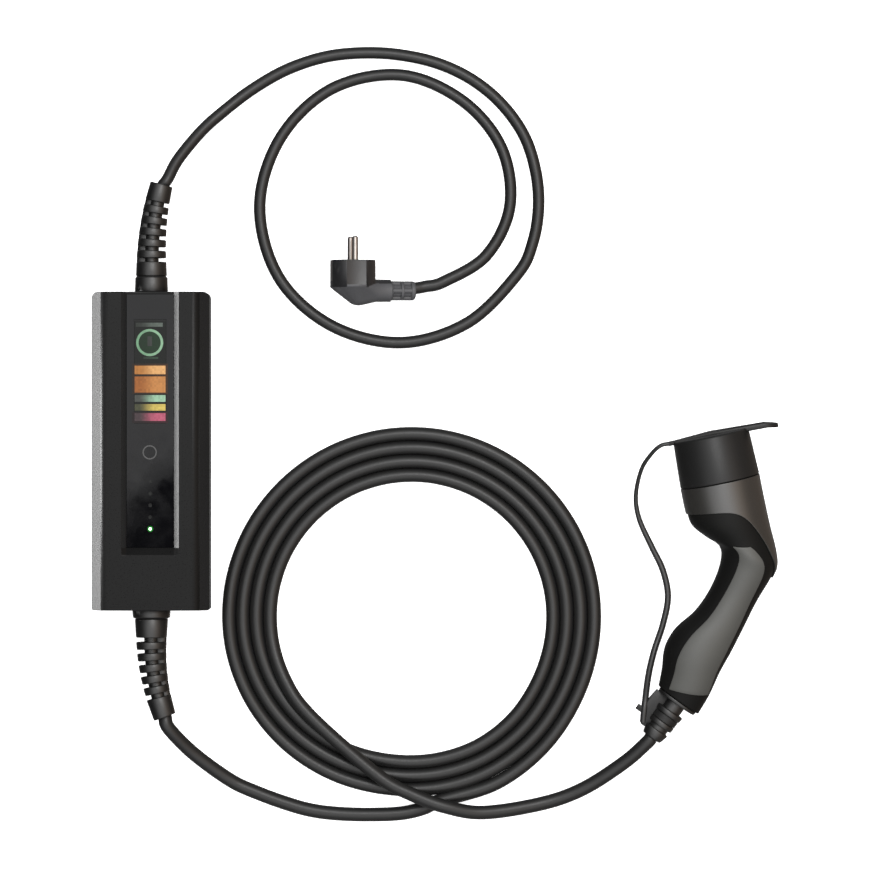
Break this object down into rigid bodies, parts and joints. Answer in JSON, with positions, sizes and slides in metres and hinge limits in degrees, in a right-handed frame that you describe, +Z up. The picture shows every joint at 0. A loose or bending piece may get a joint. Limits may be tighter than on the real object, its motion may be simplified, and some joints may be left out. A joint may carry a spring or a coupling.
{
  "type": "portable electric vehicle charger",
  "caption": "Portable electric vehicle charger: bevelled control box with a display, angled mains plug on a looped cord, coiled vehicle cord and a capped pistol-grip connector.",
  "frame": {"origin": "centre of the control box's back face, on the surface that everything lies on", "axes": "+Z up from the surface, +Y along the control box towards its mains end, +X towards the vehicle connector"},
  "size_m": [0.5482, 0.6211, 0.0662],
  "materials": {
    "charcoal": "satin",
    "rubber": "matte",
    "gloss_black": "gloss",
    "screen": "gloss",
    "light": "gloss",
    "board": "satin",
    "component": "satin",
    "terminal": "satin",
    "steel": "satin",
    "brass": "satin",
    "inlay": "matte",
    "nylon": "matte"
  },
  "bodies": {
    "charger": {"rear_cover": "charcoal", "front_cover": "charcoal", "handle_shell_left": "charcoal", "handle_shell_right": "charcoal", "head_sleeve": "charcoal", "housing_seal": "rubber", "mains_bend_relief": "rubber", "vehicle_bend_relief": "rubber", "plug_body": "rubber", "plug_cord_relief": "rubber", "mains_cord": "rubber", "vehicle_cord_lead": "rubber", "vehicle_cord_coil": "rubber", "vehicle_cord_tail": "rubber", "connector_bend_relief": "rubber", "strap_ring": "rubber", "cap_strap": "rubber", "front_panel": "gloss_black", "display_module": "screen", "status_lights": "light", "main_board": "board", "power_relays": "component", "leakage_sensor": "component", "supply_module": "terminal", "mains_terminals": "terminal", "vehicle_terminals": "terminal", "touch_pad": "steel", "cover_screws": "steel", "board_screws": "steel", "plug_pins": "steel", "plug_earth_clips": "steel", "power_contacts": "brass", "signal_contacts": "brass", "grip_inlay_left": "inlay", "grip_inlay_right": "inlay", "mains_cord_clamp": "nylon", "vehicle_cord_clamp": "nylon", "nose_shroud": "nylon", "contact_carrier": "nylon", "connector_cord_clamp": "nylon"},
    "dust_cap": {"dust_cap": "charcoal"}
  },
  "joints": [
    {"name": "cap_pull", "type": "slide", "parent": "charger", "child": "dust_cap", "axis": [-0.1994, 0.978, 0.0615], "range_m": [0, 0.05], "deforming": ["cap_strap"]}
  ]
}
